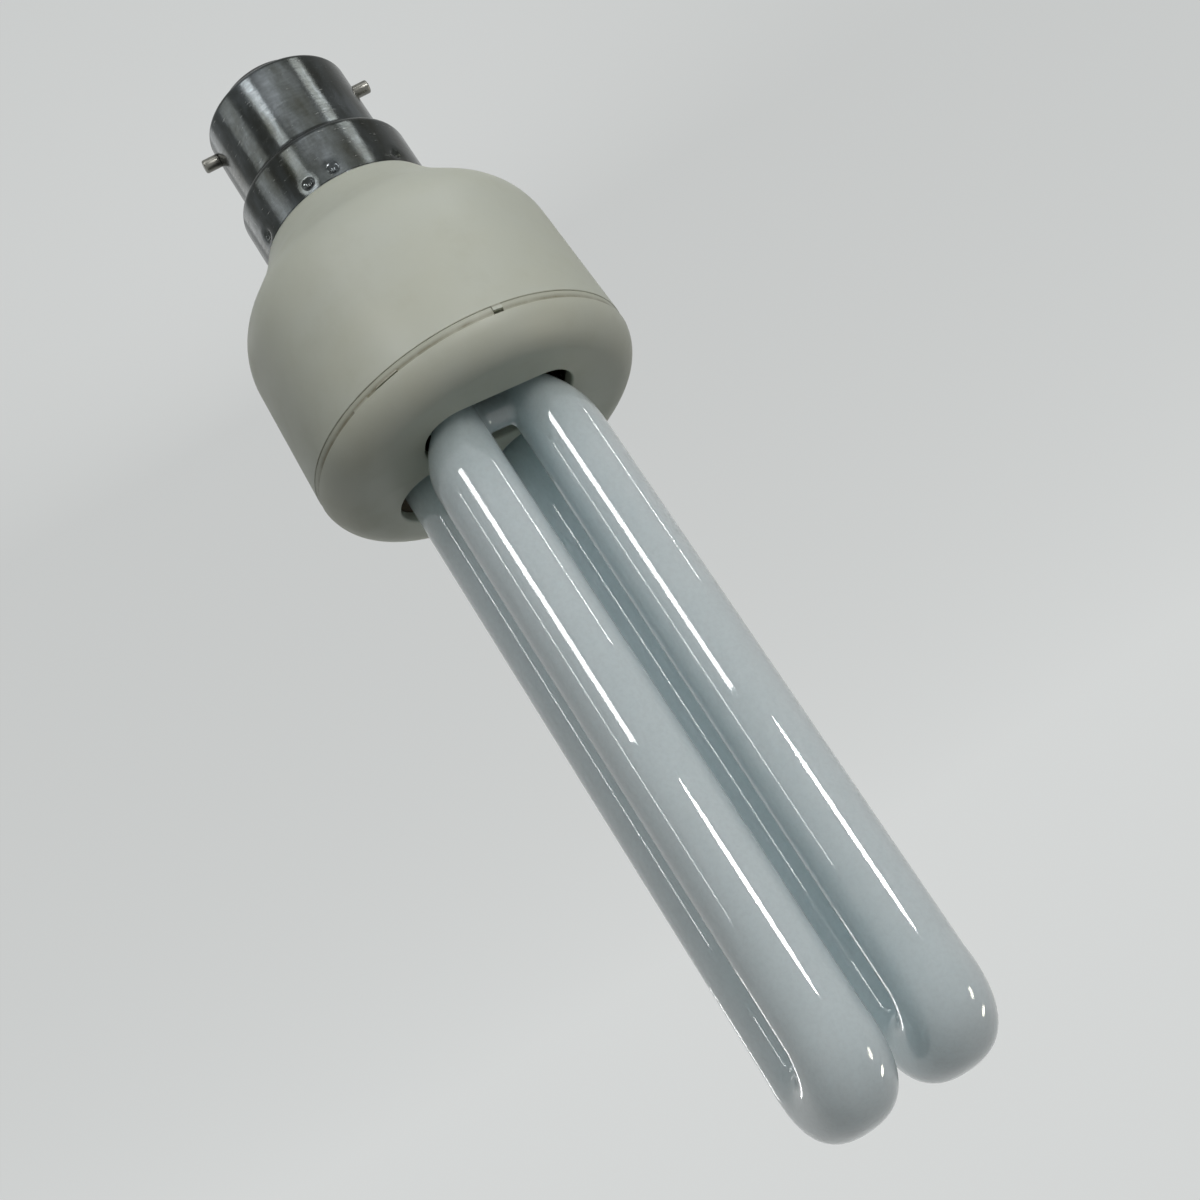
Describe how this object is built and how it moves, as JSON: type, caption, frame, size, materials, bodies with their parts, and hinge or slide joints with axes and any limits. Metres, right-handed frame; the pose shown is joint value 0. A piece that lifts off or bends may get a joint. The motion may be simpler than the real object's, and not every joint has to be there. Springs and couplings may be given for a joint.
{
  "type": "compact fluorescent lamp",
  "caption": "Compact fluorescent lamp with a bayonet cap, a round ballast housing that flares from the cap, and bridged white U-shaped glass tubes.",
  "frame": {"origin": "on the lamp's axis, in the plane of the two contact faces that the lampholder's plungers press", "axes": "+Z along the lamp's axis from the cap to the tubes, X along the bayonet pins, -Y towards the bridged legs of the tubes"},
  "size_m": [0.0478, 0.0478, 0.1685],
  "materials": {
    "cap_metal": "drawn and plated, dull with fine scratches",
    "pin_metal": "turned and plated",
    "black_glass": "opaque fused black glass",
    "solder": "dull solder on a plate",
    "housing_plastic": "moulded, satin",
    "cover_plastic": "moulded, satin",
    "coated_glass": "clear glass, coated white inside",
    "cement": "matt",
    "board": "resin-bonded paper",
    "tinned_wire": "tinned",
    "fuse_body": "lacquered",
    "ferrite": "sintered, matt",
    "bobbin_plastic": "moulded",
    "copper_wire": "enamelled",
    "can_sleeve": "shrunk sleeve",
    "film_dip": "dipped resin",
    "transistor_body": "moulded",
    "diode_body": "moulded",
    "resistor_body": "lacquered"
  },
  "bodies": {
    "root": {"bayonet_pin_left": "pin_metal", "bayonet_pin_right": "pin_metal", "cap_insulator": "black_glass", "cap_shell": "cap_metal", "choke_bobbin": "bobbin_plastic", "choke_core_lower": "ferrite", "choke_core_upper": "ferrite", "choke_winding": "copper_wire", "circuit_board": "board", "contact_plate_front": "solder", "contact_plate_rear": "solder", "coupling_capacitor": "film_dip", "diac": "diode_body", "discharge_tube": "coated_glass", "electrolytic_capacitor": "can_sleeve", "filament_lead_1": "tinned_wire", "filament_lead_2": "tinned_wire", "filament_lead_3": "tinned_wire", "filament_lead_4": "tinned_wire", "filter_inductor": "ferrite", "fuse_resistor": "fuse_body", "live_lead": "tinned_wire", "lower_cover": "cover_plastic", "neutral_lead": "tinned_wire", "rectifier_diode_1": "diode_body", "rectifier_diode_2": "diode_body", "rectifier_diode_3": "diode_body", "rectifier_diode_4": "diode_body", "resistor_1": "resistor_body", "resistor_2": "resistor_body", "resonant_capacitor": "film_dip", "toroid_core": "ferrite", "toroid_winding_1": "copper_wire", "toroid_winding_2": "copper_wire", "toroid_winding_3": "copper_wire", "transistor_1": "transistor_body", "transistor_2": "transistor_body", "tube_cement_left": "cement", "tube_cement_right": "cement", "upper_housing": "housing_plastic", "wrap_pin_1": "tinned_wire", "wrap_pin_2": "tinned_wire", "wrap_pin_3": "tinned_wire", "wrap_pin_4": "tinned_wire"}
  },
  "joints": []
}
